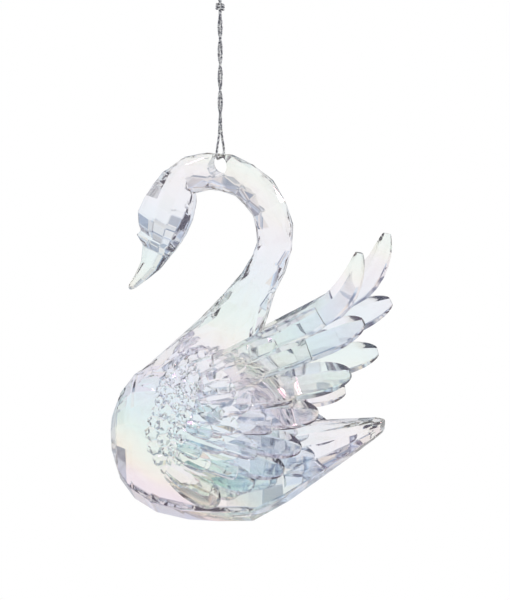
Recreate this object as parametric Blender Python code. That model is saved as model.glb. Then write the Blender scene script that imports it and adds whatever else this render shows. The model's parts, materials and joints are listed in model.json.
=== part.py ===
# Hanging swan figurine, moulded in one piece of clear pearlescent acrylic, with its cord.
# The middle plane of the swan is XZ: the bill points along -X, the tail along +X, up is +Z.
# The origin is the crown of the cord's small eye, the place that the figurine hangs by.
# Lengths are in millimetres until a shape is made, and MM turns them into metres.

import math

import bmesh
import bpy
from mathutils import Vector
from mathutils.bvhtree import BVHTree

MM = 0.001

# The hanging hole and the cord
HANG_DROP = 54.0          # crown of the cord's eye down to the middle of the hole
HOLE_DIAMETER = 6.0
HOLE_ROOF = 0.8           # acrylic left over the hole
CORD_DIAMETER = 0.75
CORD_CLEARANCE = 0.3      # between the cord and what it touches
CORD_BEND = 1.75          # tightest bend of the cord's middle line
CORD_LIP_SHARE = 0.305    # share of the neck's width at which the cord turns upward
STRAND_RISE = 11.0        # height over the neck in which the two strands come together
STRAND_TURN = 15.0        # height in which they then turn once about each other
KNOT_DROP = 5.2           # crown of the eye down to the middle of the knot
KNOT_HEIGHT = 2.6
KNOT_WALL_SHARE = 0.9     # thickness of the knot's wall as a share of the cord

# The neck: an arch, then a reversed bend down into the breast
NECK_DEPTH = 11.7         # in side view
NECK_WIDTH = 10.0
ARCH_RADIUS = 25.2        # outer edge of the arch
ARCH_LEAN = 6.0           # degrees from the middle of the arch to the hole
ARCH_START = 129.0        # degrees, behind the cheek
ARCH_END = -27.0          # degrees, where the neck turns back under itself
NECK_BASE_WIDTH = 21.0    # where the back of the neck meets the body
NECK_TUCK = 0.8           # how much the neck's end is drawn in all round inside the head
NECK_TAPER = 0.05         # share by which the neck is slimmer at the end of the arch
NECK_BACK_REACH = 17.0    # how far the back of the neck keeps its way under the arch
NECK_FRONT_REACH = 13.6
NECK_FOOT_BACK = 14.0     # foot of the neck's back, behind the middle of the breast
NECK_FOOT_RISE = 13.0     # and over it
NECK_FRONT_SHARE = 0.80   # share of the breast's reach at which the front meets its outline
NECK_SIDES = 10

# Below that the foot of the neck runs on into the breast. As shares of the breast's reach:
# the front's place on its outline, the foot's back behind and over the breast's middle.
# Then the foot's share of the body's width.
NECK_FOOT = ((0.925, 0.425, 0.13, 0.84), (0.97, 0.36, -0.20, 0.93))

# The head and bill, along the line from the end of the arch to the bill's tip
HEAD_LENGTH = 37.4
HEAD_DEPTH = 16.9
HEAD_WIDTH = 12.4
HEAD_PITCH = 245.0        # degrees, the direction of that line
EYE_RADIUS = 0.9
EYE_HEIGHT = 0.7
EYE_SETBACK = 13.3        # the hole forward to the eye
EYE_DROP = 13.0           # the hole down to the eye

# The body
BREAST_RADIUS = 30.5      # from its middle to its front, in side view
BREAST_DEPTH = 55.5       # in side view
BREAST_SQUARENESS = 2.6   # of its lower outline, where 2 is an ellipse
BREAST_TOP_SQUARENESS = 1.9
BREAST_DROP = 83.0        # the hole down to the middle of the breast
BREAST_SETBACK = 4.2      # the hole forward to the middle of the breast
BODY_WIDTH = 30.0
BACK_SHARE = 0.36         # the back's height over the middle, as a share of the depth
BASE_LENGTH = 15.6        # middle of the breast to the end of the flat under the body
TAIL_REACH = 55.6         # middle of the breast to the tail's tip
TAIL_WIDTH = 9.0
TAIL_THICKNESS = 4.2
TAIL_END_SLOPE = 2.6      # length of the slope at the tail's square end
TAIL_RISE = 5.9           # top of the tail's tip above the middle of the breast
BODY_SIDES = 12

# The wings
WING_REACH = 59.3         # longest feather
WING_HALF_SPREAD = 21.0   # middle plane to the ridge of the longest feather's tip
WING_ROOT_OUT = 12.6      # middle plane to the feathers' roots
WING_CLOSING = 0.62       # share of the spread that the lowest feather lacks
WING_BULGE = 1.6          # how far the middle feathers stand out more
FEATHER_WIDTH = 11.0
FEATHER_THICKNESS = 2.5
FEATHER_RIM = 1.0         # thickness along a feather's edge
FEATHER_ROLL = 9.0        # degrees, so that a feather's lower edge lies over the next one
ROW_LIFT = 1.15           # each row of coverts stands this far over the one below
SHOULDER_LENGTH = 47.0    # the swelling that carries the feathers
SHOULDER_SETBACK = 7.4    # its middle behind the middle of the breast
SHOULDER_LIFT = 2.0       # and over it
SHOULDER_HEIGHT = 47.0
SHOULDER_RIM_OUT = 9.4    # middle plane to the swelling's rim
SHOULDER_THICKNESS = 12.6
SCALE_RADIUS = 1.95
SCALE_HEIGHT = 1.3
SCALE_ROWS = 4

# Shape of one wing, from the top feather to the lowest, each seen from the side:
# root behind the breast's middle, root over the breast's middle, slope in degrees, reach as a
# share of the longest, upward curl of the tip, how late the curl comes (a power), width share.
FAN = (
    (5.7, 22.9, 25.0, 0.98, 14.3, 6.0, 0.86),
    (2.6, 17.5, 22.0, 0.936, 1.0, 4.0, 1.00),
    (1.0, 12.0, 12.6, 0.842, 0.5, 3.0, 1.02),
    (-0.6, 7.0, 4.4, 0.678, 0.5, 2.5, 0.92),
    (-2.1, 4.5, -10.6, 0.614, 1.5, 2.2, 0.88),
    (-4.5, -0.5, -17.0, 0.568, 2.5, 2.2, 0.90),
    (-6.5, -6.0, -22.2, 0.44, 3.0, 2.2, 0.88),
    (-9.0, -10.8, -35.3, 0.31, 3.0, 2.2, 0.80),
)

# Rows of feathers over the fan: how many, first and last place in the fan (0 to 1),
# share of the fan's reach, share of its width, row number outwards, blunt or round ends.
FEATHER_ROWS = (
    (8, 0.0, 1.0, 1.0, 1.0, 0, False),
    (7, 0.0, 0.93, 0.66, 0.86, 1, True),
    (7, 0.03, 0.96, 0.40, 0.74, 2, False),
    (5, 0.08, 0.74, 0.24, 0.62, 3, False),
)

# Section of the head and bill on one side: height from throat to crown, share of half width.
HEAD_SECTION = ((1.0, 0.34), (0.66, 0.9), (0.34, 1.0), (0.0, 0.42))

# Head stations: place along the head, crown and throat as shares of the depth, width share.
HEAD_STATIONS = (
    (-0.16, 0.095, -0.25, 0.60),
    (-0.027, 0.32, -0.30, 0.80),
    (0.10, 0.38, -0.45, 0.96),
    (0.24, 0.425, -0.52, 1.00),
    (0.37, 0.43, -0.53, 0.92),
    (0.46, 0.33, -0.51, 0.76),
    (0.51, 0.235, -0.49, 0.62),
    (0.555, 0.28, -0.47, 0.58),
    (0.61, 0.10, -0.44, 0.48),
    (0.74, 0.00, -0.37, 0.42),
    (0.87, 0.00, -0.23, 0.34),
    (0.97, 0.03, -0.11, 0.26),
    (1.00, 0.01, -0.06, 0.16),
)


def clear_scene():
    for old in list(bpy.data.objects):
        bpy.data.objects.remove(old)


def material(name, colour, roughness, metallic, alpha=1.0):
    finish = bpy.data.materials.new(name)
    finish.use_nodes = True
    shader = finish.node_tree.nodes["Principled BSDF"]
    shader.inputs["Base Color"].default_value = (*colour, 1.0)
    shader.inputs["Roughness"].default_value = roughness
    shader.inputs["Metallic"].default_value = metallic
    shader.inputs["Alpha"].default_value = alpha
    return finish


def arc_point(middle, radius, degrees):
    turn = math.radians(degrees)
    return Vector((middle[0] + radius * math.cos(turn), middle[1] + radius * math.sin(turn)))


def hole_to_world(x, y, z):
    """A point given from the middle of the hanging hole, in millimetres."""
    return Vector((x, y, z - HANG_DROP)) * MM


def make_object(name, mesh_tool):
    bmesh.ops.recalc_face_normals(mesh_tool, faces=mesh_tool.faces)
    mesh = bpy.data.meshes.new(name)
    mesh_tool.to_mesh(mesh)
    mesh_tool.free()
    made = bpy.data.objects.new(name, mesh)
    bpy.context.scene.collection.objects.link(made)
    return made


def loft(name, rings, staggered=False):
    """A closed solid through rings of points that are given in metres."""
    shape = bmesh.new()
    loops = [[shape.verts.new(point) for point in ring] for ring in rings]
    sides = len(loops[0])
    for number in range(len(loops) - 1):
        near, far = loops[number], loops[number + 1]
        for k in range(sides):
            after = (k + 1) % sides
            if not staggered:
                shape.faces.new((near[k], near[after], far[after], far[k]))
            elif number % 2 == 0:
                shape.faces.new((near[k], near[after], far[k]))
                shape.faces.new((far[k], near[after], far[after]))
            else:
                shape.faces.new((near[k], near[after], far[after]))
                shape.faces.new((near[k], far[after], far[k]))
    shape.faces.new(loops[0])
    shape.faces.new(loops[-1])
    return make_object(name, shape)


# Neck and head

def arch_middle():
    out = ARCH_RADIUS - HOLE_ROOF - HOLE_DIAMETER / 2
    lean = math.radians(ARCH_LEAN)
    return (-out * math.sin(lean), -out * math.cos(lean))


def breast_middle():
    return (-BREAST_SETBACK, -BREAST_DROP)


def breast_rise(share, squareness):
    """Height of the breast's outline off its middle at a share of its reach to the front."""
    return BREAST_DEPTH / 2 * (1 - share ** squareness) ** (1 / squareness)


def breast_front(share):
    """A point just inside the breast's upper outline, from the breast's middle."""
    rise = breast_rise(share, BREAST_TOP_SQUARENESS)
    return Vector((-BREAST_RADIUS * share, rise)) * 0.98


def neck_ring(outer, inner, width, sides, turned):
    """One ring of the neck between its outer and inner edge in the middle plane."""
    middle = (outer + inner) / 2
    across = (outer - inner) / 2
    if turned:
        # This ring has a flat at each edge, which is set out to the edge itself.
        across /= math.cos(math.pi / sides)
    ring = []
    for k in range(sides):
        turn = 2 * math.pi * (k + (0.5 if turned else 0.0)) / sides
        place = middle + across * math.cos(turn)
        ring.append(hole_to_world(place.x, width / 2 * math.sin(turn), place.y))
    return ring


def neck_stations():
    """Outer edge, inner edge and width of each ring, from the head down into the breast."""
    middle = arch_middle()
    count = 10
    stations = []
    for k in range(count):
        degrees = ARCH_START + (ARCH_END - ARCH_START) * k / (count - 1)
        thin = 1 - NECK_TAPER * k / (count - 1)
        tuck = NECK_TUCK if k == 0 else 0.0
        outer = arc_point(middle, ARCH_RADIUS - tuck, degrees)
        inner = arc_point(middle, ARCH_RADIUS - NECK_DEPTH * thin + tuck, degrees)
        stations.append((outer, inner, NECK_WIDTH - 2 * tuck))
    # Below the arch the back of the neck curves in and its front runs on to the breast.
    last_outer, last_inner = stations[-1][0], stations[-1][1]
    breast = Vector(breast_middle())
    back_end = breast + Vector((NECK_FOOT_BACK, NECK_FOOT_RISE))
    front_end = breast + breast_front(NECK_FRONT_SHARE)
    slope = Vector((math.sin(math.radians(ARCH_END)), -math.cos(math.radians(ARCH_END))))
    back_bend = last_outer + slope * NECK_BACK_REACH
    front_bend = last_inner + slope * NECK_FRONT_REACH
    steps = 5
    for k in range(1, steps + 1):
        t = k / steps
        outer = bezier(last_outer, back_bend, back_end, t)
        inner = bezier(last_inner, front_bend, front_end, t)
        width = NECK_WIDTH + (NECK_BASE_WIDTH - NECK_WIDTH) * t ** 1.4
        stations.append((outer, inner, width))
    for share, back, rise, wide in NECK_FOOT:
        back_point = breast + Vector((back, rise)) * BREAST_RADIUS
        stations.append((back_point, breast + breast_front(share), BODY_WIDTH * wide))
    return stations


def bezier(start, bend, end, t):
    return start * (1 - t) ** 2 + bend * 2 * t * (1 - t) + end * t ** 2


def make_neck():
    rings = []
    for number, (outer, inner, width) in enumerate(neck_stations()):
        rings.append(neck_ring(outer, inner, width, NECK_SIDES, number % 2 == 1))
    return loft("neck_solid", rings, staggered=True)


def make_head():
    """Head and bill, an eight-sided form whose edges are the cut facets of the face."""
    middle = arch_middle()
    start = arc_point(middle, ARCH_RADIUS - NECK_DEPTH / 2, ARCH_START - 4)
    pitch = math.radians(HEAD_PITCH)
    along = Vector((math.cos(pitch), math.sin(pitch)))
    crown_side = Vector((along.y, -along.x))
    rings = []
    for place, crown, throat, wide in HEAD_STATIONS:
        centre = start + along * (HEAD_LENGTH * place)
        top = centre + crown_side * (HEAD_DEPTH * crown)
        low = centre + crown_side * (HEAD_DEPTH * throat)
        ring = []
        for height, share in HEAD_SECTION:
            point = low + (top - low) * height
            ring.append((point, share * HEAD_WIDTH / 2 * wide))
        outline = [hole_to_world(p.x, -w, p.y) for p, w in ring]
        outline += [hole_to_world(p.x, w, p.y) for p, w in reversed(ring)]
        rings.append(outline)
    return loft("head_solid", rings)


# Body and tail

def body_stations():
    """Place along X, top, bottom, half width and squareness of the top, from the breast."""
    middle_x, middle_z = breast_middle()
    base_z = middle_z - BREAST_DEPTH / 2
    half = BODY_WIDTH / 2
    highest = middle_z + BREAST_DEPTH * BACK_SHARE
    stations = []
    for reach, wide in ((0.983, 0.30), (0.895, 0.55), (0.735, 0.76), (0.50, 0.90), (0.17, 0.98)):
        top = min(middle_z + breast_rise(reach, BREAST_TOP_SQUARENESS), highest)
        low = middle_z - breast_rise(reach, BREAST_SQUARENESS)
        stations.append((middle_x - BREAST_RADIUS * reach, top, low, half * wide, 2.0))
    base_end = middle_x + BASE_LENGTH
    stations.append((middle_x + BASE_LENGTH * 0.3, highest - 2.0, base_z, half, 2.0))
    stations.append((base_end, highest - 6.0, base_z + 0.6, half * 0.97, 2.2))
    tail_x = middle_x + TAIL_REACH
    tail_top = middle_z + TAIL_RISE
    tail_under = tail_top - TAIL_THICKNESS
    # Under the wings: place along, fall of the top, sag of the underside, share of the width.
    for t, fall, sag, wide in ((0.28, 2.8, 1.0, 0.90), (0.54, 1.7, 0.8, 0.78), (0.78, 0.8, 0.6, 0.66)):
        x = base_end + (tail_x - base_end) * t
        under = base_z + (tail_under - base_z) * t - sag
        stations.append((x, tail_top - fall, under, half * wide, 3.2))
    stations.append((tail_x - TAIL_END_SLOPE, tail_top, tail_under - 2.2, TAIL_WIDTH * 0.62, 3.4))
    stations.append((tail_x, tail_top - 0.3, tail_under, TAIL_WIDTH * 0.38, 3.4))
    return stations


def make_body():
    rings = []
    lowest_corner = math.cos(math.pi / BODY_SIDES)
    for x, top, bottom, half, square in body_stations():
        middle, tall = (top + bottom) / 2, (top - bottom) / 2
        ring = []
        for k in range(BODY_SIDES):
            turn = 2 * math.pi * (k + 0.5) / BODY_SIDES
            power = 2 / square if math.sin(turn) > 0 else 1.0
            y = math.copysign(abs(math.cos(turn)) ** power, math.cos(turn)) * half
            z = math.copysign(abs(math.sin(turn)) ** power, math.sin(turn)) * tall
            # The flat underneath lies at the full depth.
            if z < 0:
                z /= lowest_corner
            ring.append(hole_to_world(x, y, middle + z))
        rings.append(ring)
    return loft("body_solid", rings)


# Wings

def fan_at(place):
    """The fan's values at a place from 0, the top feather, to 1, the lowest."""
    step = place * (len(FAN) - 1)
    low = min(int(step), len(FAN) - 2)
    share = step - low
    return [a + (b - a) * share for a, b in zip(FAN[low], FAN[low + 1])]


def feather_spine(place, reach_share, lift):
    """A function from 0 to 1 along the feather's ridge, in millimetres from the hole."""
    back, up, slope, reach, curl, lateness, _ = fan_at(place)
    middle_x, middle_z = breast_middle()
    angle = math.radians(slope)
    spread = WING_HALF_SPREAD - WING_ROOT_OUT

    def point(t):
        far = t * reach_share
        run = far * reach * WING_REACH
        bend = curl * far ** lateness
        x = middle_x + back + run * math.cos(angle) - bend * math.sin(angle)
        z = middle_z + up + run * math.sin(angle) + bend * math.cos(angle)
        out = WING_ROOT_OUT + spread * far * (1 - WING_CLOSING * place)
        out += WING_BULGE * math.sin(math.pi * min(place, 0.9))
        return Vector((x, -(out + lift), z))
    return point


def make_feather(name, place, reach_share, width_share, row, blunt):
    """One feather: a ridged blade with a blunt rim and a round or square end."""
    spine = feather_spine(place, reach_share, row * ROW_LIFT)
    width = fan_at(place)[6] * FEATHER_WIDTH * width_share
    thick = FEATHER_THICKNESS * (1.0 - 0.09 * row)
    if blunt:
        stations = ((0.0, 0.80, 0.8), (0.5, 1.0, 1.0), (0.93, 0.98, 1.0), (1.0, 0.84, 0.55))
    else:
        stations = ((0.0, 0.62, 0.9), (0.3, 0.89, 1.0), (0.6, 1.0, 1.0), (0.8, 0.96, 1.0),
                    (0.92, 0.75, 0.9), (0.975, 0.53, 0.7), (1.0, 0.27, 0.55))
    rings = []
    for t, share, depth in stations:
        here = spine(t)
        ahead = spine(min(t + 0.02, 1.0)) - spine(max(t - 0.02, 0.0))
        ahead.normalize()
        outward = Vector((0.0, -1.0, 0.0))
        across = ahead.cross(outward).normalized()
        outward = across.cross(ahead).normalized()
        roll = math.radians(FEATHER_ROLL)
        side = across * math.cos(roll) + outward * math.sin(roll)
        face = outward * math.cos(roll) - across * math.sin(roll)
        half = width / 2 * share
        rim = FEATHER_RIM / 2 * depth
        ridge = thick / 2 * depth
        ring = []
        section = ((-half, -rim), (-half, rim), (0.0, ridge), (half, rim), (half, -rim), (0.0, -ridge))
        for wide, deep in section:
            point = here + side * wide + face * deep
            ring.append(hole_to_world(point.x, point.y, point.z))
        rings.append(ring)
    return loft(name, rings)


def shoulder_middle():
    middle_x, middle_z = breast_middle()
    return middle_x + SHOULDER_SETBACK, middle_z + SHOULDER_LIFT


def make_shoulder():
    """The swelling under the coverts, a faceted lens on the body's side."""
    middle_x, middle_z = shoulder_middle()
    rings = []
    turns, levels = 16, 8
    for level in range(1, levels):
        tilt = math.pi * level / levels
        ring = []
        for k in range(turns):
            turn = 2 * math.pi * k / turns
            x = middle_x + SHOULDER_LENGTH / 2 * math.sin(tilt) * math.cos(turn)
            z = middle_z + SHOULDER_HEIGHT / 2 * math.sin(tilt) * math.sin(turn)
            y = -SHOULDER_RIM_OUT - SHOULDER_THICKNESS / 2 * math.cos(tilt)
            ring.append(hole_to_world(x, y, z))
        rings.append(ring)
    return loft("shoulder_solid", rings)


def surface_of(solids):
    """A finder of the outer surface on the -Y side, at a place seen from the side."""
    shape = bmesh.new()
    for solid in solids:
        shape.from_mesh(solid.data)
    tree = BVHTree.FromBMesh(shape)
    shape.free()

    def find(x, z):
        start = hole_to_world(x, -2 * BODY_WIDTH, z)
        place, normal, _, _ = tree.ray_cast(start, Vector((0.0, 1.0, 0.0)))
        return place, normal
    return find


def make_dome(name, place, normal, radius, high):
    """A small round dome on a surface, six-sided: a scale of the shoulder or an eye."""
    across = normal.cross(Vector((0.0, 0.0, 1.0))).normalized()
    up = across.cross(normal).normalized()
    rings = []
    for share, height in ((0.8, -high), (1.0, 0.1), (0.62, high * 0.72)):
        ring = []
        for k in range(6):
            turn = math.pi / 3 * (k + 0.25)
            side = across * math.cos(turn) + up * math.sin(turn)
            ring.append(place + (side * radius * share + normal * height) * MM)
        rings.append(ring)
    return loft(name, rings)


def make_scales(find):
    """Curved rows of scales along the front of the wing."""
    middle_x, middle_z = shoulder_middle()
    made = []
    for row in range(SCALE_ROWS):
        inset = SCALE_RADIUS + row * SCALE_RADIUS * 1.62
        first, last = 118 + 3 * row, 218 - 4 * row
        length = SHOULDER_LENGTH / 2 - inset
        height = SHOULDER_HEIGHT / 2 - inset
        count = round(length * math.radians(last - first) / (SCALE_RADIUS * 1.75))
        for k in range(count):
            turn = math.radians(first + (last - first) * (k + 0.5 * (row % 2)) / (count - 1))
            place, normal = find(middle_x + length * math.cos(turn), middle_z + height * math.sin(turn))
            size = SCALE_RADIUS * (1.0 - 0.12 * ((k + row) % 2))
            made.append(make_dome(f"scale_solid_{row}_{k}", place, normal, size, SCALE_HEIGHT))
    return made


def make_wing(body, neck):
    """All the solids of the wing on the -Y side."""
    made = [make_shoulder()]
    find = surface_of([body, neck, made[0]])
    for row, (count, first, last, reach, width, lift, blunt) in enumerate(FEATHER_ROWS):
        for k in range(count):
            place = first + (last - first) * k / (count - 1)
            made.append(make_feather(f"feather_solid_{row}_{k}", place, reach, width, lift, blunt))
    return made + make_scales(find)


def mirrored(solid):
    """The same solid on the other side of the middle plane."""
    shape = bmesh.new()
    shape.from_mesh(solid.data)
    for vert in shape.verts:
        vert.co.y = -vert.co.y
    bmesh.ops.reverse_faces(shape, faces=shape.faces)
    return make_object(solid.name + "_mirrored", shape)


def make_hole_cutter():
    """A bar through the crown of the neck, for the hanging hole."""
    sides = 20
    rings = []
    for y in (-NECK_WIDTH, NECK_WIDTH):
        ring = []
        for k in range(sides):
            place = arc_point((0.0, 0.0), HOLE_DIAMETER / 2, 360 * k / sides)
            ring.append(hole_to_world(place.x, y, place.y))
        rings.append(ring)
    return loft("hole_cutter", rings)


def evaluated_mesh(owner):
    graph = bpy.context.evaluated_depsgraph_get()
    return bpy.data.meshes.new_from_object(owner.evaluated_get(graph))


def outer_shell_only(shape):
    """A moulding has no sealed hollows: shells left inside the union are filled in."""
    unseen = set(shape.verts)
    shells = []
    while unseen:
        stack = [unseen.pop()]
        shell = set(stack)
        while stack:
            for edge in stack.pop().link_edges:
                for vert in edge.verts:
                    if vert in unseen:
                        unseen.discard(vert)
                        shell.add(vert)
                        stack.append(vert)
        shells.append(shell)
    widest = max(shells, key=lambda s: max(v.co.x for v in s) - min(v.co.x for v in s))
    spare = [vert for shell in shells if shell is not widest for vert in shell]
    bmesh.ops.delete(shape, geom=spare, context="VERTS")


def make_swan(finish):
    """Joins neck, head, body and both wings into one moulding and bores the hole."""
    swan = make_body()
    swan.name = "swan"
    parts = bpy.data.collections.new("moulding_parts")
    bpy.context.scene.collection.children.link(parts)
    neck = make_neck()
    wing = make_wing(swan, neck)
    head = make_head()
    place, normal = surface_of([head])(-EYE_SETBACK, -EYE_DROP)
    sided = wing + [make_dome("eye_solid", place, normal, EYE_RADIUS, EYE_HEIGHT)]
    solids = [neck, head] + sided + [mirrored(solid) for solid in sided]
    for solid in solids:
        bpy.context.scene.collection.objects.unlink(solid)
        parts.objects.link(solid)
    cutter = make_hole_cutter()

    join = swan.modifiers.new("join", "BOOLEAN")
    join.operation = "UNION"
    join.operand_type = "COLLECTION"
    join.collection = parts
    join.solver = "EXACT"
    bore = swan.modifiers.new("bore", "BOOLEAN")
    bore.operation = "DIFFERENCE"
    bore.object = cutter
    bore.solver = "EXACT"

    shape = bmesh.new()
    shape.from_mesh(evaluated_mesh(swan))
    bmesh.ops.remove_doubles(shape, verts=shape.verts, dist=0.000001)
    outer_shell_only(shape)
    swan.modifiers.clear()
    shape.to_mesh(swan.data)
    shape.free()
    swan.data.materials.clear()
    swan.data.materials.append(finish)
    for solid in solids + [cutter]:
        bpy.data.objects.remove(solid)
    bpy.data.collections.remove(parts)
    return swan


# Cord

def cord_route():
    """The cord's middle line: under the roof of the hole, up, through the knot and back."""
    under_roof = HOLE_DIAMETER / 2 - CORD_CLEARANCE - CORD_DIAMETER / 2
    lip = NECK_WIDTH * CORD_LIP_SHARE
    strand = CORD_DIAMETER / 2 + 0.1
    low = -HANG_DROP + under_roof
    # Each step is how far out to the side, how far along X, and the height.
    half = [(CORD_CLEARANCE / 2, 0.0, low), (0.5 * lip, 0.0, low), (lip, 0.0, low)]
    for degrees in (30, 60, 90):
        turn = math.radians(degrees)
        out = lip + CORD_BEND * math.sin(turn)
        half.append((out, 0.0, low + CORD_BEND * (1 - math.cos(turn))))
    for share, rise in ((0.80, 0.17), (0.50, 0.38), (0.24, 0.65)):
        half.append(((lip + CORD_BEND) * share, 0.0, low + CORD_BEND + STRAND_RISE * rise))
    # Above the neck the two strands turn slowly about each other, up to the knot.
    start = low + CORD_BEND + STRAND_RISE
    end = -KNOT_DROP - KNOT_HEIGHT / 2 - 1.5
    turns = round((end - start) / STRAND_TURN)
    for k in range(11):
        turn = 2 * math.pi * turns * k / 10
        half.append((strand * math.cos(turn), strand * math.sin(turn), start + (end - start) * k / 10))
    half += [(strand, 0.0, -KNOT_DROP), (strand, 0.0, -KNOT_DROP + KNOT_HEIGHT / 2 + 0.4)]
    eye = CORD_BEND + 0.1
    half += [(eye * 0.94, 0.0, -eye - 0.75), (eye * 0.98, 0.0, -eye + 0.35), (eye * 0.62, 0.0, -0.36)]
    half.append((0.0, 0.0, -CORD_DIAMETER / 2))
    front = [Vector((x, -y, z)) for y, x, z in half]
    back = [Vector((-x, y, z)) for y, x, z in reversed(half[:-1])]
    return front + back


def smooth_line(points, count):
    """Points at even steps on the smooth curve through the route's points."""
    fine = []
    for k in range(len(points) - 1):
        before = points[max(k - 1, 0)]
        start, end = points[k], points[k + 1]
        after = points[min(k + 2, len(points) - 1)]
        for step in range(12):
            t = step / 12
            fine.append(0.5 * (2 * start + (end - before) * t
                               + (2 * before - 5 * start + 4 * end - after) * t ** 2
                               + (3 * start - before - 3 * end + after) * t ** 3))
    fine.append(points[-1])
    runs = [0.0]
    for a, b in zip(fine, fine[1:]):
        runs.append(runs[-1] + (b - a).length)
    even, at = [], 0
    for k in range(count):
        want = runs[-1] * k / (count - 1)
        while at < len(runs) - 2 and runs[at + 1] < want:
            at += 1
        share = (want - runs[at]) / (runs[at + 1] - runs[at])
        even.append(fine[at].lerp(fine[at + 1], share))
    return even


def make_cord(finish):
    line = smooth_line(cord_route(), 78)
    curve = bpy.data.curves.new("hanging_cord", "CURVE")
    curve.dimensions = "3D"
    curve.bevel_depth = CORD_DIAMETER / 2 * MM
    curve.bevel_resolution = 2
    curve.use_fill_caps = True
    spline = curve.splines.new("POLY")
    spline.points.add(len(line) - 1)
    for place, point in zip(spline.points, line):
        place.co = (*(point * MM), 1.0)
    cord = bpy.data.objects.new("hanging_cord", curve)
    bpy.context.scene.collection.objects.link(cord)
    curve.materials.append(finish)
    return cord


def make_knot(finish):
    """The knot as a wound collar round the two strands."""
    strand = CORD_DIAMETER + 0.2
    inner_y = strand / 2 + CORD_DIAMETER / 2 + CORD_CLEARANCE
    inner_x = CORD_DIAMETER / 2 + CORD_CLEARANCE
    wall = CORD_DIAMETER * KNOT_WALL_SHARE
    shape = bmesh.new()
    turns, levels = 20, 8
    loops = []
    for k in range(turns):
        turn = 2 * math.pi * k / turns
        loop = []
        for level in range(levels):
            tilt = 2 * math.pi * level / levels
            out = wall / 2 * (1 + math.cos(tilt))
            x = (inner_x + out) * math.cos(turn)
            y = (inner_y + out) * math.sin(turn)
            z = -KNOT_DROP + KNOT_HEIGHT / 2 * math.sin(tilt)
            loop.append(shape.verts.new(Vector((x, y, z)) * MM))
        loops.append(loop)
    for k in range(turns):
        near, far = loops[k], loops[(k + 1) % turns]
        for level in range(levels):
            after = (level + 1) % levels
            shape.faces.new((near[level], near[after], far[after], far[level]))
    knot = make_object("cord_knot", shape)
    knot.data.materials.append(finish)
    return knot


clear_scene()
acrylic = material("clear_pearl_acrylic", (0.93, 0.94, 0.97), 0.05, 0.0, 0.4)
silver = material("silver_cord", (0.62, 0.63, 0.66), 0.35, 0.9)
make_swan(acrylic)
make_cord(silver)
make_knot(silver)
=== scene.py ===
import json
import math

import bmesh
import bpy
from mathutils import Matrix, Vector
from mathutils.bvhtree import BVHTree

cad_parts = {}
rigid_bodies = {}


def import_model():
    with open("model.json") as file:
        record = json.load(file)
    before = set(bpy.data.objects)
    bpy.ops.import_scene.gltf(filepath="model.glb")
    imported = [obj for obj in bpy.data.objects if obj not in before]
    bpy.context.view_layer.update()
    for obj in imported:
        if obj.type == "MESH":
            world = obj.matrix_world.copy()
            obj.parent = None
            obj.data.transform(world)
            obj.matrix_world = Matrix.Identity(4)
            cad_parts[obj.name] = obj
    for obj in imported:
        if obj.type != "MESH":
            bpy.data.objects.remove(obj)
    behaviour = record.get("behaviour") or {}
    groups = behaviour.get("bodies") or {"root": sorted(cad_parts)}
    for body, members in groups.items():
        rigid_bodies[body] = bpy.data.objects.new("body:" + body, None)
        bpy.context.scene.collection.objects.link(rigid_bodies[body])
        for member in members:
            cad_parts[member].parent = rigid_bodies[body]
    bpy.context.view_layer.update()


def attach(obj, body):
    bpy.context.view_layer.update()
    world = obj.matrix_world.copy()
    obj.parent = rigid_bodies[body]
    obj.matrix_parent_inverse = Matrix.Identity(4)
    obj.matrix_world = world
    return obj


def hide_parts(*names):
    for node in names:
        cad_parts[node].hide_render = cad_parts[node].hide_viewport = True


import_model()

MM = 0.001


# Camera. It looks at the swan's left side from a little behind and a little above,
# 1.4 m away, and is aimed by the hanging hole, 54 mm under the crown of the cord's eye.
hole_drop = 54.0
hole_middle = Vector((0.0, 0.0, -hole_drop)) * MM
view_turn, view_rise, view_distance = math.radians(13.0), math.radians(9.0), 1.4
frame_right, frame_down, frame_width, film_width = 10.67, 41.45, 0.1845, 36.0
view_right = Vector((math.cos(view_turn), math.sin(view_turn), 0.0))
view_back = Vector((math.sin(view_turn) * math.cos(view_rise),
                    -math.cos(view_turn) * math.cos(view_rise), math.sin(view_rise)))
view_up = view_back.cross(view_right)
picture_middle = hole_middle + view_right * frame_right * MM - view_up * frame_down * MM
camera = bpy.data.objects.new("camera", bpy.data.cameras.new("camera"))
camera.matrix_world = Matrix.Translation(picture_middle + view_back * view_distance) @ Matrix(
    (view_right, view_up, view_back)).transposed().to_4x4()
bpy.context.scene.view_settings.view_transform = "Standard"
camera.data.sensor_width = film_width
camera.data.lens = film_width * view_distance / frame_width
camera.data.clip_start = 0.1
bpy.context.scene.collection.objects.link(camera)
bpy.context.scene.camera = camera


# Studio. A white surround for the camera. What shines on the acrylic or through it meets
# white walls with thin dark strips at steps of height and to the sides, which draw its
# facets, and two soft lamps make the glints. The floor lies well below the hanging swan.
studio = bpy.data.worlds.new("studio")
bpy.context.scene.world = studio
studio.use_nodes = True
sky = studio.node_tree.nodes
sky_links = studio.node_tree.links


def set_tones(ramp, tones):
    """Give a colour ramp its stops, from the first at 0 to the last at 1."""
    for place, tone in tones:
        if place in (0.0, 1.0):
            stop = ramp.elements[-int(place)]
        else:
            stop = ramp.elements.new(place)
        stop.color = (*tone, 1.0)


def sky_product(first, second):
    """One layer of the sky times another."""
    layer = sky.new("ShaderNodeMix")
    layer.data_type = "RGBA"
    layer.blend_type = "MULTIPLY"
    layer.inputs["Factor"].default_value = 1.0
    sky_links.new(first, layer.inputs["A"])
    sky_links.new(second, layer.inputs["B"])
    return layer.outputs["Result"]


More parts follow.
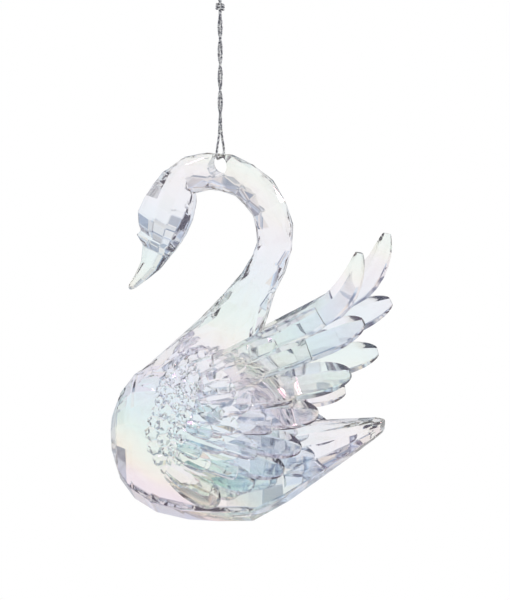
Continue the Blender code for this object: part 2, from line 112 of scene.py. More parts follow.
# The strips by height: 0 is straight down, 0.5 the horizon and 1 straight up.
sky_way = sky.new("ShaderNodeTexCoord")
sky_parts = sky.new("ShaderNodeSeparateXYZ")
sky_links.new(sky_way.outputs["Generated"], sky_parts.inputs["Vector"])
sky_level = sky.new("ShaderNodeMapRange")
sky_level.inputs["From Min"].default_value = -1.0
sky_level.inputs["From Max"].default_value = 1.0
sky_links.new(sky_parts.outputs["Z"], sky_level.inputs["Value"])
sky_bands = sky.new("ShaderNodeValToRGB")
set_tones(sky_bands.color_ramp, (
    (0.0, (0.80, 0.84, 0.90)), (0.20, (0.84, 0.88, 0.94)), (0.34, (1.0, 1.0, 1.0)),
    (0.494, (1.0, 1.0, 1.0)), (0.501, (0.46, 0.50, 0.58)), (0.511, (0.50, 0.54, 0.60)),
    (0.519, (1.0, 0.98, 0.95)), (0.553, (1.0, 1.0, 1.0)), (0.562, (0.46, 0.52, 0.62)),
    (0.570, (0.50, 0.54, 0.62)), (0.580, (1.0, 0.95, 0.90)), (0.605, (0.96, 0.98, 1.0)),
    (0.620, (0.62, 0.68, 0.80)), (0.630, (0.66, 0.70, 0.78)), (0.645, (0.98, 0.97, 0.96)),
    (0.672, (0.80, 0.88, 1.0)), (0.690, (0.24, 0.28, 0.36)), (0.702, (0.30, 0.31, 0.36)),
    (0.718, (1.0, 0.92, 0.84)), (0.760, (0.94, 0.97, 1.0)), (0.800, (0.58, 0.64, 0.74)),
    (0.812, (0.60, 0.64, 0.72)), (0.835, (0.98, 0.96, 0.93)), (0.870, (0.86, 0.90, 0.96)),
    (0.890, (0.40, 0.44, 0.52)), (0.915, (0.90, 0.93, 0.98)), (1.0, (1.0, 1.0, 1.0))))
sky_links.new(sky_level.outputs["Result"], sky_bands.inputs["Fac"])
# Soft patches keep the walls from being quite even.
sky_patches = sky.new("ShaderNodeTexNoise")
sky_patches.inputs["Scale"].default_value = 2.3
sky_patches.inputs["Detail"].default_value = 1.0
sky_links.new(sky_way.outputs["Generated"], sky_patches.inputs["Vector"])
sky_patch_depth = sky.new("ShaderNodeMapRange")
sky_patch_depth.inputs["From Min"].default_value = 0.42
sky_patch_depth.inputs["From Max"].default_value = 0.58
sky_patch_depth.inputs["To Min"].default_value = 0.82
sky_patch_depth.inputs["To Max"].default_value = 1.0
sky_links.new(sky_patches.outputs["Fac"], sky_patch_depth.inputs["Value"])
sky_zones = sky_product(sky_bands.outputs["Color"], sky_patch_depth.outputs["Result"])
# Narrow dark cards stand at both sides, square to the view: 0 is straight ahead and 1 is
# straight to the side.
sky_side = sky.new("ShaderNodeVectorMath")
sky_side.operation = "DOT_PRODUCT"
sky_side.inputs[1].default_value = view_right
sky_links.new(sky_way.outputs["Generated"], sky_side.inputs[0])
sky_side_off = sky.new("ShaderNodeMath")
sky_side_off.operation = "ABSOLUTE"
sky_links.new(sky_side.outputs["Value"], sky_side_off.inputs[0])
sky_cards = sky.new("ShaderNodeValToRGB")
set_tones(sky_cards.color_ramp, (
    (0.0, (1.0, 1.0, 1.0)), (0.115, (1.0, 1.0, 1.0)), (0.128, (0.50, 0.56, 0.66)),
    (0.145, (0.54, 0.58, 0.66)), (0.160, (1.0, 0.97, 0.92)), (0.215, (1.0, 1.0, 1.0)),
    (0.235, (0.74, 0.80, 0.90)), (0.250, (0.98, 0.98, 0.98)), (0.295, (1.0, 0.91, 0.80)),
    (0.320, (0.30, 0.34, 0.42)), (0.345, (0.32, 0.36, 0.45)), (0.370, (0.72, 0.86, 1.0)),
    (0.420, (0.97, 0.98, 1.0)), (0.470, (0.66, 0.70, 0.80)), (0.490, (0.97, 0.97, 0.97)),
    (0.570, (0.98, 0.92, 0.86)), (0.620, (0.24, 0.28, 0.36)), (0.665, (0.30, 0.34, 0.42)),
    (0.700, (0.76, 0.88, 1.0)), (0.780, (0.95, 0.97, 1.0)), (0.840, (0.70, 0.74, 0.82)),
    (0.880, (0.95, 0.96, 1.0)), (1.0, (0.92, 0.95, 1.0))))
sky_links.new(sky_side_off.outputs["Value"], sky_cards.inputs["Fac"])
sky_carded = sky_product(sky_zones, sky_cards.outputs["Color"])
sky_ray = sky.new("ShaderNodeLightPath")
sky_choice = sky.new("ShaderNodeMix")
sky_choice.data_type = "RGBA"
sky_choice.inputs["B"].default_value = (1.0, 1.0, 1.0, 1.0)
sky_links.new(sky_ray.outputs["Is Camera Ray"], sky_choice.inputs["Factor"])
sky_links.new(sky_carded, sky_choice.inputs["A"])
sky_links.new(sky_choice.outputs["Result"], sky["Background"].inputs["Color"])

for name, place, size, power in (("key_lamp", (-0.8, -0.4, 1.6), 0.5, 6.0),
                                 ("rim_lamp", (1.1, 0.7, 0.6), 0.4, 5.0)):
    lamp = bpy.data.objects.new(name, bpy.data.lights.new(name, "AREA"))
    lamp.data.energy = power
    lamp.data.size = size
    lamp.visible_transmission = False
    lamp.location = place
    lamp.rotation_euler = (Vector(place) - picture_middle).to_track_quat("Z", "Y").to_euler()
    bpy.context.scene.collection.objects.link(lamp)

# The floor is as white as the surround, also where it is seen through the acrylic.
floor_half, floor_level = 6.0, -0.4
floor_finish = bpy.data.materials.new("pale_floor")
floor_finish.use_nodes = True
floor_nodes = floor_finish.node_tree.nodes
floor_nodes["Principled BSDF"].inputs["Base Color"].default_value = (0.9, 0.9, 0.9, 1.0)
floor_nodes["Principled BSDF"].inputs["Roughness"].default_value = 0.9
floor_glow = floor_nodes.new("ShaderNodeEmission")
floor_ray = floor_nodes.new("ShaderNodeLightPath")
floor_sum = floor_nodes.new("ShaderNodeMath")
floor_sum.operation = "ADD"
floor_sum.use_clamp = True
floor_mix = floor_nodes.new("ShaderNodeMixShader")
floor_links = floor_finish.node_tree.links
floor_links.new(floor_ray.outputs["Is Camera Ray"], floor_sum.inputs[0])
floor_links.new(floor_ray.outputs["Is Transmission Ray"], floor_sum.inputs[1])
floor_links.new(floor_sum.outputs["Value"], floor_mix.inputs[0])
floor_links.new(floor_nodes["Principled BSDF"].outputs[0], floor_mix.inputs[1])
floor_links.new(floor_glow.outputs[0], floor_mix.inputs[2])
floor_links.new(floor_mix.outputs[0], floor_nodes["Material Output"].inputs["Surface"])
floor_mesh = bpy.data.meshes.new("floor")
floor_mesh.from_pydata([(x * floor_half, y * floor_half, floor_level)
                        for x, y in ((-1, -1), (1, -1), (1, 1), (-1, 1))], [], [(0, 1, 2, 3)])
floor_mesh.materials.append(floor_finish)
floor = bpy.data.objects.new("floor", floor_mesh)
bpy.context.scene.collection.objects.link(floor)


# Hanging cord. Silver metallic cord, laid up from three twisted plies. It runs through the
# hole in the swan's neck, up in two strands through the knot, and ends in a small eye. Half
# its way is given, from under the roof of the hole to the eye, and the rest mirrors it.
cord_diameter, hole_radius, hole_roof_gap = 0.75, 3.0, 0.3
knot_middle, knot_height, cord_bend = -5.2, 2.6, 1.75
cord_low = -hole_drop + (hole_radius - hole_roof_gap - cord_diameter / 2)
lip, strand, strand_turn, strand_rise = 3.05, cord_diameter / 2 + 0.1, 15.0, 11.0
twist_steps, knot_gap = 10, 1.5
half_route = [(0.15, 0.0, cord_low), (0.5 * lip, 0.0, cord_low), (lip, 0.0, cord_low)]
for degrees in (30, 60, 90):
    turn = math.radians(degrees)
    half_route.append((lip + cord_bend * math.sin(turn), 0.0, cord_low + cord_bend * (1 - math.cos(turn))))
for out, rise_share in ((0.80, 0.17), (0.50, 0.38), (0.24, 0.65)):
    half_route.append(((lip + cord_bend) * out, 0.0, cord_low + cord_bend + strand_rise * rise_share))
twist_start, twist_end = cord_low + cord_bend + strand_rise, knot_middle - knot_height / 2 - knot_gap
for k in range(twist_steps + 1):
    rise = (twist_end - twist_start) * k / twist_steps
    turn = 2 * math.pi * round((twist_end - twist_start) / strand_turn) * k / twist_steps
    half_route.append((strand * math.cos(turn), strand * math.sin(turn), twist_start + rise))
half_route += [(strand, 0.0, knot_middle), (strand, 0.0, knot_middle + knot_height / 2 + 0.4)]
eye = cord_bend + 0.1
half_route += [(eye * 0.94, 0.0, -eye - 0.75), (eye * 0.98, 0.0, -eye + 0.35), (eye * 0.62, 0.0, -0.36),
               (0.0, 0.0, -cord_diameter / 2)]
cord_route = [Vector((x, -y, z)) for y, x, z in half_route]
cord_route += [Vector((-x, y, z)) for y, x, z in reversed(half_route[:-1])]


def smooth_line(points, count):
    """Points at even steps on the smooth curve through the given points."""
    fine = []
    for k in range(len(points) - 1):
        before, start, end = points[max(k - 1, 0)], points[k], points[k + 1]
        after = points[min(k + 2, len(points) - 1)]
        for step in range(12):
            t = step / 12
            fine.append(0.5 * (2 * start + (end - before) * t
                               + (2 * before - 5 * start + 4 * end - after) * t ** 2
                               + (3 * start - before - 3 * end + after) * t ** 3))
    fine.append(points[-1])
    runs = [0.0]
    for a, b in zip(fine, fine[1:]):
        runs.append(runs[-1] + (b - a).length)
    even, at = [], 0
    for k in range(count):
        want = runs[-1] * k / (count - 1)
        while at < len(runs) - 2 and runs[at + 1] < want:
            at += 1
        share = (want - runs[at]) / (runs[at + 1] - runs[at])
        even.append(fine[at].lerp(fine[at + 1], share))
    return even, runs[-1]


def wire(name, lines):
    """A curve object whose splines follow lines of points given in millimetres."""
    curve = bpy.data.curves.new(name, "CURVE")
    curve.dimensions = "3D"
    for line in lines:
        spline = curve.splines.new("POLY")
        spline.points.add(len(line) - 1)
        for place, point in zip(spline.points, line):
            place.co = (*(point * MM), 1.0)
    owner = bpy.data.objects.new(name + "_wire", curve)
    bpy.context.scene.collection.objects.link(owner)
    return owner


silver_finish = bpy.data.materials.new("twisted_silver")
silver_finish.use_nodes = True
silver_shader = silver_finish.node_tree.nodes["Principled BSDF"]
silver_shader.inputs["Metallic"].default_value = 0.9
silver_shader.inputs["Roughness"].default_value = 0.32
# The base colour is a fine speckle from near black to pale: painted glints and dark specks of painted shade
# on the strands.
silver_place = silver_finish.node_tree.nodes.new("ShaderNodeTexCoord")
painted_silver_glints = silver_finish.node_tree.nodes.new("ShaderNodeTexNoise")
painted_silver_glints.inputs["Scale"].default_value = 2200.0
painted_silver_glints.inputs["Detail"].default_value = 2.0
painted_glint_and_shade_tones = silver_finish.node_tree.nodes.new("ShaderNodeValToRGB")
painted_glint_and_shade_tones.color_ramp.elements[0].position = 0.42
painted_glint_and_shade_tones.color_ramp.elements[0].color = (0.05, 0.05, 0.08, 1.0)
painted_glint_and_shade_tones.color_ramp.elements[1].position = 0.58
painted_glint_and_shade_tones.color_ramp.elements[1].color = (0.92, 0.90, 0.86, 1.0)
silver_finish.node_tree.links.new(silver_place.outputs["Object"], painted_silver_glints.inputs["Vector"])
silver_finish.node_tree.links.new(painted_silver_glints.outputs["Fac"], painted_glint_and_shade_tones.inputs["Fac"])
silver_finish.node_tree.links.new(painted_glint_and_shade_tones.outputs["Color"], silver_shader.inputs["Base Color"])


def growth_tree(name, inputs, output):
    """An empty tree of steps that grows a mesh from named inputs."""
    tree = bpy.data.node_groups.new(name, "GeometryNodeTree")
    for label, kind in inputs:
        tree.interface.new_socket(label, in_out="INPUT", socket_type="NodeSocket" + kind)
    tree.interface.new_socket(output, in_out="OUTPUT", socket_type="NodeSocketGeometry")
    return tree


def growth_step(tree, kind, **settings):
    """A new step of a tree, with its settings made."""
    made = tree.nodes.new(kind)
    for key, value in settings.items():
        setattr(made, key, value)
    return made


# Plies follow the cord's line side by side and turn about it once in every lay length.
ply_tree = growth_tree("twisted_plies", (
    ("Cord", "Geometry"), ("Plies", "Int"), ("Ply Radius", "Float"), ("Ply Offset", "Float"),
    ("Lay Length", "Float"), ("Finish", "Material")), "Plies")
ply_join = ply_tree.links.new
ply_in = growth_step(ply_tree, "NodeGroupInput")
ply_out = growth_step(ply_tree, "NodeGroupOutput")
ply_copies = growth_step(ply_tree, "GeometryNodeDuplicateElements", domain="SPLINE")
ply_join(ply_in.outputs["Cord"], ply_copies.inputs["Geometry"])
ply_join(ply_in.outputs["Plies"], ply_copies.inputs["Amount"])
ply_share = growth_step(ply_tree, "ShaderNodeMath", operation="DIVIDE")
ply_join(ply_copies.outputs["Duplicate Index"], ply_share.inputs[0])
ply_join(ply_in.outputs["Plies"], ply_share.inputs[1])
ply_along = growth_step(ply_tree, "GeometryNodeSplineParameter")
ply_turns = growth_step(ply_tree, "ShaderNodeMath", operation="DIVIDE")
ply_join(ply_along.outputs["Length"], ply_turns.inputs[0])
ply_join(ply_in.outputs["Lay Length"], ply_turns.inputs[1])
ply_total = growth_step(ply_tree, "ShaderNodeMath", operation="ADD")
ply_join(ply_share.outputs[0], ply_total.inputs[0])
ply_join(ply_turns.outputs[0], ply_total.inputs[1])
ply_angle = growth_step(ply_tree, "ShaderNodeMath", operation="MULTIPLY")
ply_angle.inputs[1].default_value = 2 * math.pi
ply_join(ply_total.outputs[0], ply_angle.inputs[0])
ply_normal = growth_step(ply_tree, "GeometryNodeInputNormal")
ply_tangent = growth_step(ply_tree, "GeometryNodeInputTangent")
ply_turned = growth_step(ply_tree, "ShaderNodeVectorRotate", rotation_type="AXIS_ANGLE")
ply_join(ply_normal.outputs["Normal"], ply_turned.inputs["Vector"])
ply_join(ply_tangent.outputs["Tangent"], ply_turned.inputs["Axis"])
ply_join(ply_angle.outputs[0], ply_turned.inputs["Angle"])
ply_step = growth_step(ply_tree, "ShaderNodeVectorMath", operation="SCALE")
ply_join(ply_turned.outputs["Vector"], ply_step.inputs[0])
ply_join(ply_in.outputs["Ply Offset"], ply_step.inputs["Scale"])
ply_placed = growth_step(ply_tree, "GeometryNodeSetPosition")
ply_join(ply_copies.outputs["Geometry"], ply_placed.inputs["Geometry"])
ply_join(ply_step.outputs["Vector"], ply_placed.inputs["Offset"])
ply_round = growth_step(ply_tree, "GeometryNodeCurvePrimitiveCircle")
ply_round.inputs["Resolution"].default_value = 7
ply_join(ply_in.outputs["Ply Radius"], ply_round.inputs["Radius"])
ply_tube = growth_step(ply_tree, "GeometryNodeCurveToMesh")
ply_tube.inputs["Fill Caps"].default_value = True
ply_join(ply_placed.outputs["Geometry"], ply_tube.inputs["Curve"])
ply_join(ply_round.outputs["Curve"], ply_tube.inputs["Profile Curve"])
ply_solid = growth_step(ply_tree, "GeometryNodeRealizeInstances")
ply_join(ply_tube.outputs["Mesh"], ply_solid.inputs["Geometry"])
ply_painted = growth_step(ply_tree, "GeometryNodeSetMaterial")
ply_join(ply_solid.outputs["Geometry"], ply_painted.inputs["Geometry"])
ply_join(ply_in.outputs["Finish"], ply_painted.inputs["Material"])
ply_join(ply_painted.outputs["Geometry"], ply_out.inputs["Plies"])


def grown(name, owner, tree, values):
    """The plain mesh that a node tree makes of an object, which it takes the place of."""
    growth = owner.modifiers.new("growth", "NODES")
    growth.node_group = tree
    sockets = {item.name: item.identifier for item in tree.interface.items_tree
               if item.in_out == "INPUT"}
    for label, value in values.items():
        growth[sockets[label]] = value
    graph = bpy.context.evaluated_depsgraph_get()
    mesh = bpy.data.meshes.new_from_object(owner.evaluated_get(graph))
    mesh.name = name
    bpy.data.objects.remove(owner)
    made = bpy.data.objects.new(name, mesh)
    bpy.context.scene.collection.objects.link(made)
    return made


def shade_smooth(piece):
    """Let the light run smoothly over a round piece."""
    piece.data.polygons.foreach_set("use_smooth", [True] * len(piece.data.polygons))


cord_lay = {"Plies": 3, "Ply Radius": 0.21 * MM, "Ply Offset": 0.19 * MM,
            "Lay Length": 2.1 * MM, "Finish": silver_finish}
cord_line, cord_length = smooth_line(cord_route, 460)
cord = grown("hanging_cord_twisted", wire("cord", [cord_line]), ply_tree, cord_lay)
shade_smooth(cord)

# Knot. Nearly three turns of the same silver cord, wound round both strands where the
# knot closes the loop. The coil swells a little in the middle.
knot_turns, knot_across, knot_deep, knot_steps = 2.6, 1.3, 0.95, 120
knot_swell, knot_rim = 0.12, 0.4
knot_line = []
for k in range(knot_steps + 1):
    turn = 2 * math.pi * knot_turns * k / knot_steps
    bulge = 1 + knot_swell * math.sin(math.pi * k / knot_steps)
    rise = knot_middle - knot_height / 2 + knot_rim + (knot_height - 2 * knot_rim) * k / knot_steps
    knot_line.append(Vector((knot_deep * bulge * math.cos(turn),
                             knot_across * bulge * math.sin(turn), rise)))
knot = grown("cord_knot_wound", wire("knot", [knot_line]), ply_tree, cord_lay)
shade_smooth(knot)
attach(knot, "root")
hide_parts("cord_knot")
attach(cord, "root")
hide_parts("hanging_cord")


# Swan. One clear acrylic moulding. Its shape is given in millimetres from the middle of the
# hanging hole, first the neck and head, then the body, the feathered wings and the scales,
# and all of it is joined into one closed skin before the hole is bored.

# Acrylic: clear, with a thin pearl coat. Its lilac, mint and pale yellow are the coat's sheen, painted into
# the base colour by place over the form.
acrylic_finish = bpy.data.materials.new("clear_pearl")
acrylic_finish.use_nodes = True
acrylic_shader = acrylic_finish.node_tree.nodes["Principled BSDF"]
acrylic_shader.inputs["Roughness"].default_value = 0.03
acrylic_shader.inputs["IOR"].default_value = 1.49
acrylic_shader.inputs["Transmission Weight"].default_value = 0.94
acrylic_shader.inputs["Thin Film Thickness"].default_value = 350.0
acrylic_shader.inputs["Thin Film IOR"].default_value = 1.62
acrylic_nodes = acrylic_finish.node_tree.nodes
acrylic_links = acrylic_finish.node_tree.links
pearl_place = acrylic_nodes.new("ShaderNodeTexCoord")
pearl_drift = acrylic_nodes.new("ShaderNodeTexNoise")
pearl_drift.inputs["Scale"].default_value = 42.0
pearl_drift.inputs["Detail"].default_value = 1.0
acrylic_links.new(pearl_place.outputs["Object"], pearl_drift.inputs["Vector"])
# The painted sheen's tones come round twice along a slope from the belly up to the head.
pearl_run = acrylic_nodes.new("ShaderNodeVectorMath")
pearl_run.operation = "DOT_PRODUCT"
pearl_run.inputs[1].default_value = (10.4, 0.0, 20.1)
acrylic_links.new(pearl_place.outputs["Object"], pearl_run.inputs[0])
pearl_sum = acrylic_nodes.new("ShaderNodeMath")
pearl_sum.operation = "MULTIPLY_ADD"
pearl_sum.inputs[1].default_value = 0.5
acrylic_links.new(pearl_drift.outputs["Fac"], pearl_sum.inputs[0])
acrylic_links.new(pearl_run.outputs["Value"], pearl_sum.inputs[2])
pearl_start = acrylic_nodes.new("ShaderNodeMath")
pearl_start.operation = "ADD"
pearl_start.inputs[1].default_value = 4.128
acrylic_links.new(pearl_sum.outputs["Value"], pearl_start.inputs[0])
pearl_cycle = acrylic_nodes.new("ShaderNodeMath")
pearl_cycle.operation = "FRACT"
acrylic_links.new(pearl_start.outputs["Value"], pearl_cycle.inputs[0])
painted_sheen_tones = acrylic_nodes.new("ShaderNodeValToRGB")
set_tones(painted_sheen_tones.color_ramp, (
    (0.0, (0.94, 0.83, 0.93)), (0.14, (0.98, 0.85, 0.88)), (0.21, (1.0, 0.91, 0.81)),
    (0.28, (0.96, 0.97, 0.87)), (0.42, (0.80, 0.95, 0.91)), (0.58, (0.77, 0.90, 0.98)),
    (0.74, (0.82, 0.86, 0.99)), (0.88, (0.89, 0.84, 0.97)), (1.0, (0.94, 0.83, 0.93))))
acrylic_links.new(pearl_cycle.outputs["Value"], painted_sheen_tones.inputs["Fac"])
# The painted sheen is faint on the neck, head and feathers and deepens toward the breast and belly.
pearl_breast = acrylic_nodes.new("ShaderNodeVectorMath")
pearl_breast.operation = "DOT_PRODUCT"
pearl_breast.inputs[1].default_value = (-0.9, 0.0, -0.6)
acrylic_links.new(pearl_place.outputs["Object"], pearl_breast.inputs[0])
pearl_sheen_depth = acrylic_nodes.new("ShaderNodeMapRange")
pearl_sheen_depth.inputs["From Min"].default_value = 0.069
pearl_sheen_depth.inputs["From Max"].default_value = 0.092
pearl_sheen_depth.inputs["To Min"].default_value = 0.38
pearl_sheen_depth.inputs["To Max"].default_value = 0.85
acrylic_links.new(pearl_breast.outputs["Value"], pearl_sheen_depth.inputs["Value"])
painted_pearl_sheen = acrylic_nodes.new("ShaderNodeMix")
painted_pearl_sheen.data_type = "RGBA"
painted_pearl_sheen.inputs["A"].default_value = (0.955, 0.99, 0.99, 1.0)
acrylic_links.new(pearl_sheen_depth.outputs["Result"], painted_pearl_sheen.inputs["Factor"])
acrylic_links.new(painted_sheen_tones.outputs["Color"], painted_pearl_sheen.inputs["B"])
acrylic_links.new(painted_pearl_sheen.outputs["Result"], acrylic_shader.inputs["Base Color"])

acrylic_parts = bpy.data.collections.new("moulding_parts")
bpy.context.scene.collection.children.link(acrylic_parts)


def from_hole(x, y, z):
    """A place given in millimetres from the middle of the hanging hole."""
    return Vector((x, y, z)) * MM + hole_middle


def around(middle, radius, degrees):
    """A point on a circle in the swan's middle plane."""
    return Vector((middle[0] + radius * math.cos(math.radians(degrees)),
                   middle[1] + radius * math.sin(math.radians(degrees))))


def bend_line(start, bend, end, t):
    """A point on a line that leaves and arrives along the way to its bend."""
    return start * (1 - t) ** 2 + bend * 2 * t * (1 - t) + end * t ** 2


def moulded(name, rings, staggered=False, soft_edge=0.0, rounded=False):
    """A closed solid through rings of points, with its edges eased as moulding leaves them."""
    shape = bmesh.new()
    loops = [[shape.verts.new(from_hole(*point)) for point in ring] for ring in rings]
    sides = len(loops[0])
    for number, (near, far) in enumerate(zip(loops, loops[1:])):
        for k in range(sides):
            after = (k + 1) % sides
            if not staggered:
                shape.faces.new((near[k], near[after], far[after], far[k]))
            elif number % 2 == 0:
                shape.faces.new((near[k], near[after], far[k]))
                shape.faces.new((far[k], near[after], far[after]))
            else:
                shape.faces.new((near[k], near[after], far[after]))
                shape.faces.new((near[k], far[after], far[k]))
    shape.faces.new(loops[0])
    shape.faces.new(loops[-1])
    bmesh.ops.recalc_face_normals(shape, faces=shape.faces)
    if soft_edge:
        bmesh.ops.bevel(shape, geom=shape.edges[:], offset=soft_edge * MM, offset_type="OFFSET", segments=1,
                        profile=0.5, affect="EDGES", clamp_overlap=True)
    for face in shape.faces:
        face.smooth = rounded
    mesh = bpy.data.meshes.new(name)
    shape.to_mesh(mesh)
    shape.free()
    made = bpy.data.objects.new(name, mesh)
    acrylic_parts.objects.link(made)
    return made


# Neck: diamond facets round an arch, then a reversed bend down to the breast, where two
# foot rings inside the body carry it. The front of the breast sets where the bend ends.
arch_radius, neck_depth, neck_width, neck_base_width = 25.2, 11.7, 10.0, 21.0
arch_start, arch_end, arch_lean, hole_wall = 129.0, -27.0, 264.0, 0.8
arch_middle = around((0.0, 0.0), arch_radius - hole_wall - hole_radius, arch_lean)
breast_middle = Vector((-4.2, -83.0))
breast_radius, breast_depth, body_half = 30.5, 55.5, 15.0
breast_square, breast_top_square = 2.6, 1.9


def breast_rise(share, square):
    """Height of the breast's outline off its middle at a share of its reach to the front."""
    return breast_depth / 2 * (1 - share ** square) ** (1 / square)


def breast_front(share):
    """A point just inside the breast's outline, at a share of its reach to the front."""
    return breast_middle + Vector((-breast_radius * share, breast_rise(share, breast_top_square))) * 0.98


neck_sides, neck_tuck = 10, 0.8
neck_edges = []
for k in range(10):
    degrees = arch_start + (arch_end - arch_start) * k / 9
    tuck = neck_tuck if k == 0 else 0.0
    neck_edges.append((around(arch_middle, arch_radius - tuck, degrees),
                       around(arch_middle, arch_radius - neck_depth * (1 - 0.05 * k / 9) + tuck, degrees),
                       neck_width - 2 * tuck))
back_start, front_start = neck_edges[-1][0], neck_edges[-1][1]
neck_down = Vector((math.sin(math.radians(arch_end)), -math.cos(math.radians(arch_end))))
back_drop, front_drop, nape_end = 17.0, 13.6, Vector((14.0, 13.0))
back_bend, back_end = back_start + neck_down * back_drop, breast_middle + nape_end
front_bend, front_end = front_start + neck_down * front_drop, breast_front(0.80)
for k in range(1, 6):
    t = k / 5
    neck_edges.append((bend_line(back_start, back_bend, back_end, t),
                       bend_line(front_start, front_bend, front_end, t),
                       neck_width + (neck_base_width - neck_width) * t ** 1.4))
for share, back, rise, wide in ((0.925, 0.425, 0.13, 0.84), (0.97, 0.36, -0.20, 0.93)):
    foot_back = breast_middle + Vector((back, rise)) * breast_radius
    neck_edges.append((foot_back, breast_front(share), 2 * body_half * wide))
neck_rings = []
for number, (outer, inner, width) in enumerate(neck_edges):
    ring = []
    half_depth = (outer - inner) / 2
    if number % 2:
        half_depth = half_depth / math.cos(math.pi / neck_sides)
    for k in range(neck_sides):
        turn = 2 * math.pi * (k + 0.5 * (number % 2)) / neck_sides
        place = (outer + inner) / 2 + half_depth * math.cos(turn)
        ring.append((place.x, width / 2 * math.sin(turn), place.y))
    neck_rings.append(ring)
neck = moulded("neck", neck_rings, staggered=True, soft_edge=0.22)

# Head and bill: eight-sided, its edges are the cut facets of the face. From the neck to the
# tip of the bill: place along the head, crown and throat off its line as shares of its
# height, and width as a share of the widest.
head_slope, head_length, head_height, head_half = math.radians(245.0), 37.4, 16.9, 6.2
head_start = around(arch_middle, arch_radius - neck_depth / 2, arch_start - 4)
head_way = Vector((math.cos(head_slope), math.sin(head_slope)))
crown_way = Vector((head_way.y, -head_way.x))
head_rings = []
for place, crown, throat, wide in (
        (-0.16, 0.095, -0.25, 0.60), (-0.027, 0.32, -0.30, 0.80), (0.10, 0.38, -0.45, 0.96),
        (0.24, 0.425, -0.52, 1.00), (0.37, 0.43, -0.53, 0.92), (0.46, 0.33, -0.51, 0.76),
        (0.51, 0.235, -0.49, 0.62), (0.555, 0.28, -0.47, 0.58), (0.61, 0.10, -0.44, 0.48),
        (0.74, 0.00, -0.37, 0.42), (0.87, 0.00, -0.23, 0.34), (0.97, 0.03, -0.11, 0.26),
        (1.00, 0.01, -0.06, 0.16)):
    centre = head_start + head_way * (head_length * place)
    top, low = centre + crown_way * (head_height * crown), centre + crown_way * (head_height * throat)
    side = [(low + (top - low) * height, share * head_half * wide)
            for height, share in ((1.0, 0.34), (0.66, 0.9), (0.34, 1.0), (0.0, 0.42))]
    head_rings.append([(p.x, -w, p.y) for p, w in side] + [(p.x, w, p.y) for p, w in reversed(side)])
head = moulded("head", head_rings, soft_edge=0.2)

# Eye: a small low dome on each side of the head.
head_shape = bmesh.new()
head_shape.from_mesh(head.data)
cheek = BVHTree.FromBMesh(head_shape)
head_shape.free()
beside_swan = -60.0
eye_place, eye_way, _, _ = cheek.ray_cast(from_hole(-13.3, beside_swan, -13.0), Vector((0.0, 1.0, 0.0)))
eye_turned = eye_way.to_track_quat("Z", "Y")
eye_sides = 12
eye_rings = []
for radius, height in ((0.7, -0.7), (0.9, -0.1), (0.9, 0.1), (0.72, 0.36), (0.36, 0.52)):
    ring = [(radius * math.cos(2 * math.pi * k / eye_sides),
             radius * math.sin(2 * math.pi * k / eye_sides), height) for k in range(eye_sides)]
    eye_rings.append([(eye_place - hole_middle) / MM + eye_turned @ Vector(point) for point in ring])
moulded("eye", eye_rings, rounded=True)

# Body and tail: large facets, a short flat underneath and a square-ended tail. A form is
# its place along the body, its top and bottom, its half width and how square it is.
body_low, body_high = breast_middle.y - breast_depth / 2, breast_middle.y + breast_depth * 0.36
body_forms = []
for share, wide in ((0.983, 0.30), (0.895, 0.55), (0.735, 0.76), (0.50, 0.90), (0.17, 0.98)):
    body_forms.append((breast_middle.x - breast_radius * share,
                       min(breast_middle.y + breast_rise(share, breast_top_square), body_high),
                       breast_middle.y - breast_rise(share, breast_square), body_half * wide, 2.0))
base_length, tail_reach, tail_rise, tail_thickness, tail_half = 15.6, 55.6, 5.9, 4.2, 9.0
base_end, tail_end = breast_middle.x + base_length, breast_middle.x + tail_reach
tail_top = breast_middle.y + tail_rise
tail_under = tail_top - tail_thickness
body_forms.append((breast_middle.x + base_length * 0.3, body_high - 2.0, body_low, body_half, 2.0))
body_forms.append((base_end, body_high - 6.0, body_low + 0.6, body_half * 0.97, 2.2))
for t, fall, sag, wide in ((0.28, 2.8, 1.0, 0.90), (0.54, 1.7, 0.8, 0.78), (0.78, 0.8, 0.6, 0.66)):
    body_forms.append((base_end + (tail_end - base_end) * t, tail_top - fall,
                       body_low + (tail_under - body_low) * t - sag, body_half * wide, 3.2))
body_forms.append((tail_end - 2.6, tail_top, tail_under - 2.2, tail_half * 0.62, 3.4))
body_forms.append((tail_end, tail_top - 0.3, tail_under, tail_half * 0.38, 3.4))
rim_bevel = 4.2
body_rings = []
for x, top, bottom, half, square in body_forms:
    middle, tall = (top + bottom) / 2, (top - bottom) / 2
    side = [(half * math.cos(math.radians(turn)) ** (2 / square),
             tall * math.sin(math.radians(turn)) ** (2 / square)) for turn in (75, 45, 15)]
    # Below, the flank leans in a little and ends in a bevel along the body's lower rim.
    rim = 1 - min(rim_bevel / tall, 0.28)
    side += [(half * (0.975 - 0.19 * drop), -tall * rim * drop) for drop in (0.2, 0.6, 1.0)]
    side.append((half * 0.32, -tall))
    body_rings.append([(x, -out, middle + rise) for out, rise in side]
                      + [(x, out, middle + rise) for out, rise in reversed(side)])
body = moulded("body", body_rings, soft_edge=0.25)

# Shoulder: the swelling on the body's side that carries the feathers.
shoulder_middle = breast_middle + Vector((7.4, 2.0))
shoulder_reach, shoulder_out, shoulder_swell = 23.5, 9.4, 6.3
shoulder_levels, shoulder_sides = 12, 28
shoulder_rings = []
for level in range(1, shoulder_levels):
    tilt = math.pi * level / shoulder_levels
    reach, out = shoulder_reach * math.sin(tilt), shoulder_out + shoulder_swell * math.cos(tilt)
    turns = [2 * math.pi * k / shoulder_sides for k in range(shoulder_sides)]
    shoulder_rings.append([(shoulder_middle.x + reach * math.cos(turn), -out,
                            shoulder_middle.y + reach * math.sin(turn)) for turn in turns])
shoulder = moulded("shoulder", shoulder_rings, rounded=True)

